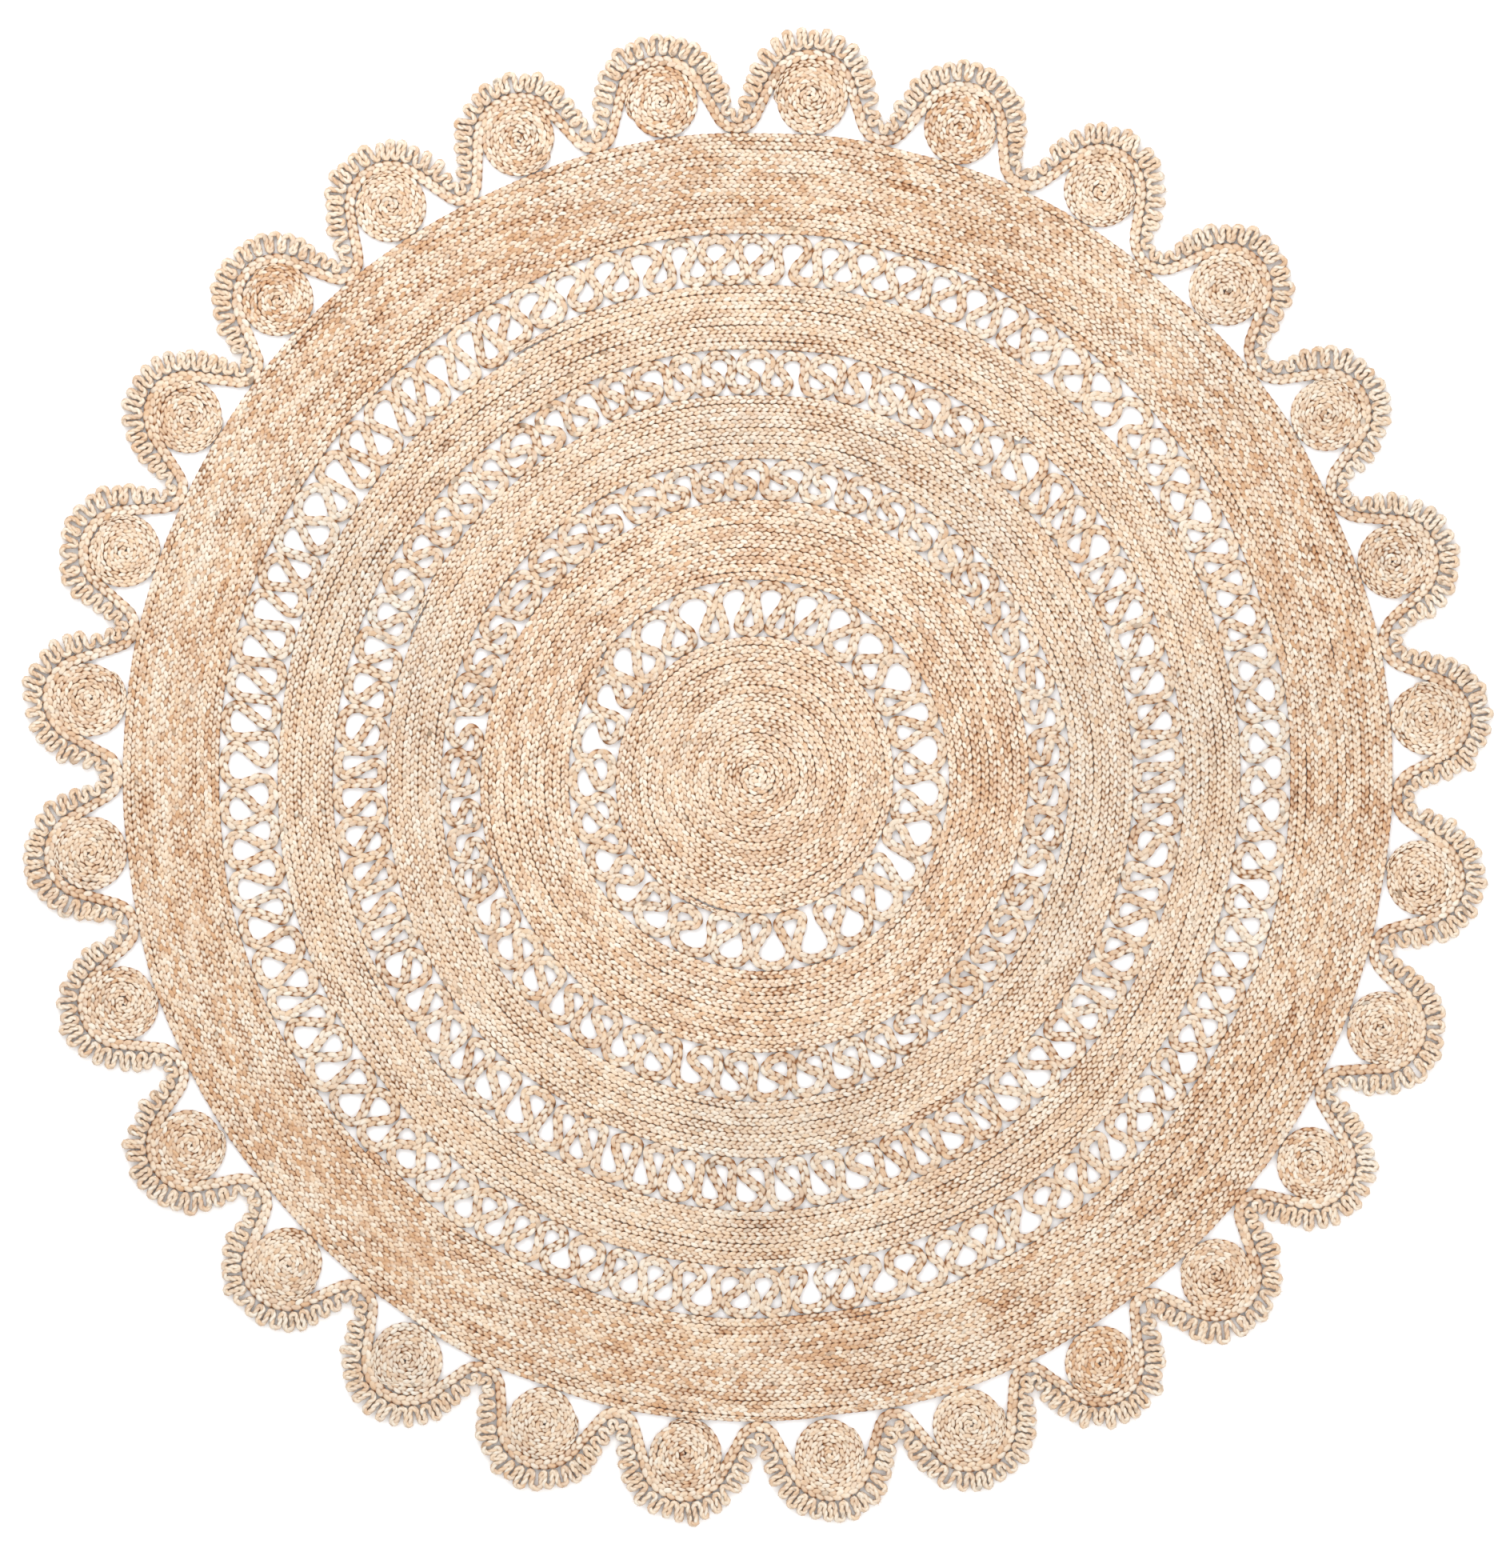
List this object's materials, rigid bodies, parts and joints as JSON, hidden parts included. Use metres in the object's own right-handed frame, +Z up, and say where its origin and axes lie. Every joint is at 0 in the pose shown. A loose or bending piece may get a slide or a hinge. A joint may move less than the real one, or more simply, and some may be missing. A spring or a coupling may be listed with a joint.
{
  "type": "area rug",
  "caption": "Round hand-plaited jute rug with coiled solid bands, open looped rings and a scalloped rosette rim edged with small loops.",
  "frame": {"origin": "centre of the rug's underside, on the floor plane", "axes": "+Z up out of the floor through the rug's face; X and Y lie on the floor, with Y along the slightly longer diameter"},
  "size_m": [1.8124, 1.8424, 0.01],
  "materials": {
    "disc_jute": "matt, plaited natural jute",
    "openwork_jute": "matt, plaited natural jute",
    "band_jute": "matt, plaited natural jute",
    "rosette_jute": "matt, plaited natural jute",
    "scallop_jute": "matt, plaited natural jute",
    "edging_jute": "matt, plaited natural jute, slightly frayed"
  },
  "bodies": {
    "root": {"centre_disc": "disc_jute", "openwork_ring_1": "openwork_jute", "solid_band_1": "band_jute", "openwork_ring_2": "openwork_jute", "solid_band_2": "band_jute", "openwork_ring_3": "openwork_jute", "solid_band_3": "band_jute", "openwork_ring_4": "openwork_jute", "solid_band_4": "band_jute", "rosette_01": "rosette_jute", "rosette_02": "rosette_jute", "rosette_03": "rosette_jute", "rosette_04": "rosette_jute", "rosette_05": "rosette_jute", "rosette_06": "rosette_jute", "rosette_07": "rosette_jute", "rosette_08": "rosette_jute", "rosette_09": "rosette_jute", "rosette_10": "rosette_jute", "rosette_11": "rosette_jute", "rosette_12": "rosette_jute", "rosette_13": "rosette_jute", "rosette_14": "rosette_jute", "rosette_15": "rosette_jute", "rosette_16": "rosette_jute", "rosette_17": "rosette_jute", "rosette_18": "rosette_jute", "rosette_19": "rosette_jute", "rosette_20": "rosette_jute", "rosette_21": "rosette_jute", "rosette_22": "rosette_jute", "rosette_23": "rosette_jute", "rosette_24": "rosette_jute", "rosette_25": "rosette_jute", "rosette_26": "rosette_jute", "rosette_27": "rosette_jute", "rosette_28": "rosette_jute", "scallop_braid": "scallop_jute", "loop_edging": "edging_jute"}
  },
  "joints": []
}
